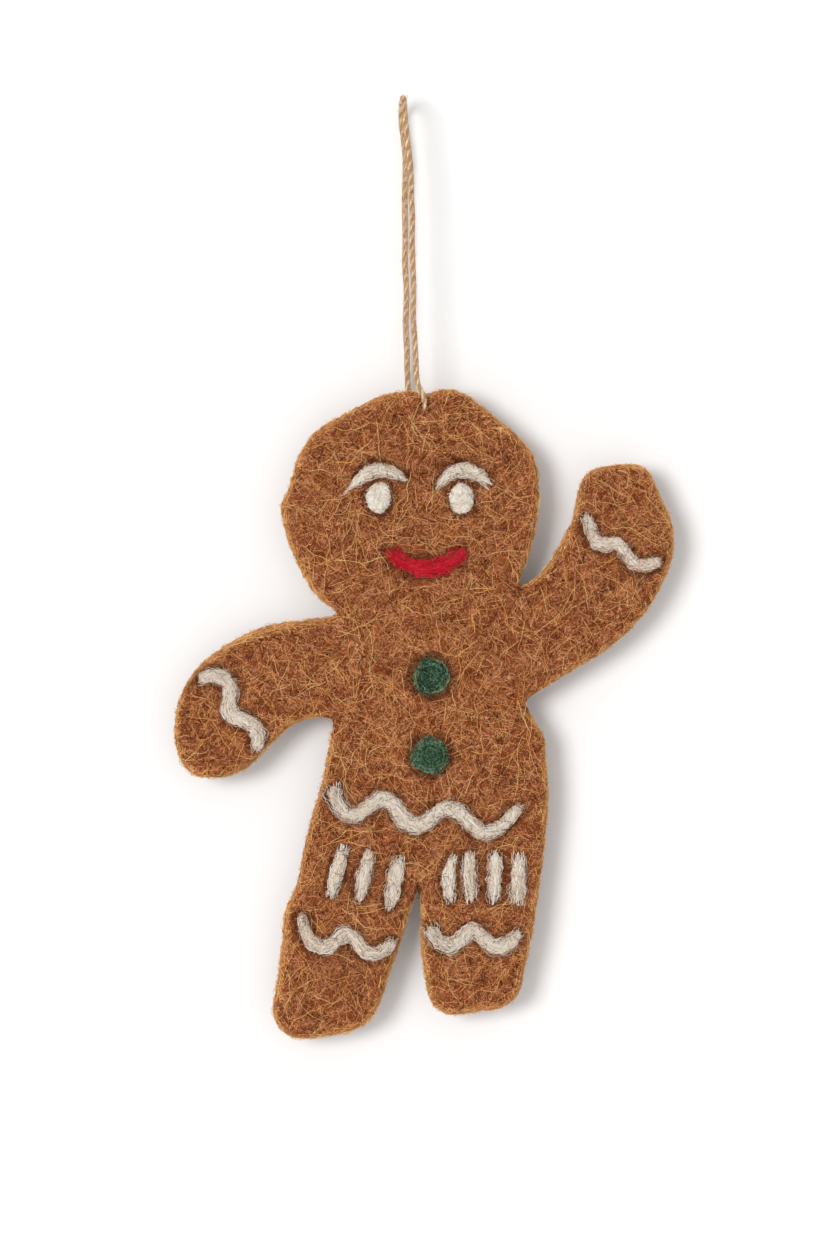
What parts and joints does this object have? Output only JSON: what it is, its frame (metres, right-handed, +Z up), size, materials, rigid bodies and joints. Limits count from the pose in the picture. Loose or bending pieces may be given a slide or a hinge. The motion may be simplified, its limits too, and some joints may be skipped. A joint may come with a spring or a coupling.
{
  "type": "felt christmas ornament",
  "caption": "Flat gingerbread figure of thick brown wool felt with needle-felted icing lines, face and buttons, hanging on a loop of jute twine.",
  "frame": {"origin": "inside of the top bend of the twine loop, where a hook carries the ornament", "axes": "+Z up along the figure's height, +X to the right as seen from the front, +Y out of the back; the decorated front faces -Y"},
  "size_m": [0.1154, 0.012, 0.2181],
  "materials": {
    "brown_felt": "matted brown wool felt with light curly hairs and fuzzy cut edges",
    "cream_wool": "off-white combed wool, needle-felted in parallel strands",
    "red_wool": "red combed wool, needle-felted",
    "green_wool": "dark green combed wool, needle-felted in a swirl",
    "jute_twine": "two-ply natural jute twine"
  },
  "bodies": {
    "loop": {"hanging_loop": "jute_twine"},
    "stitch": {"twine_stitch": "jute_twine", "front_twine_bend": "jute_twine", "back_twine_bend": "jute_twine", "twine_knot": "jute_twine"},
    "figure": {"front_felt": "brown_felt", "back_felt": "brown_felt", "smile": "red_wool", "left_brow": "cream_wool", "right_brow": "cream_wool", "left_eye": "cream_wool", "right_eye": "cream_wool", "upper_button": "green_wool", "lower_button": "green_wool", "waist_wave": "cream_wool", "left_cuff_wave": "cream_wool", "right_cuff_wave": "cream_wool", "left_ankle_wave": "cream_wool", "right_ankle_wave": "cream_wool", "left_leg_bar_1": "cream_wool", "left_leg_bar_2": "cream_wool", "left_leg_bar_3": "cream_wool", "right_leg_bar_1": "cream_wool", "right_leg_bar_2": "cream_wool", "right_leg_bar_3": "cream_wool", "right_leg_bar_4": "cream_wool"}
  },
  "joints": [
    {"name": "loop_fold", "type": "hinge", "parent": "loop", "child": "stitch", "pos_m": [0.003, 0, -0.0668], "axis": [1, 0, 0], "range_deg": [-90, 90], "deforming": ["front_twine_bend", "back_twine_bend"]},
    {"name": "figure_sway", "type": "hinge", "parent": "stitch", "child": "figure", "pos_m": [0.00513, 0, -0.0713], "axis": [0, 1, 0], "range_deg": [-45, 45]}
  ]
}
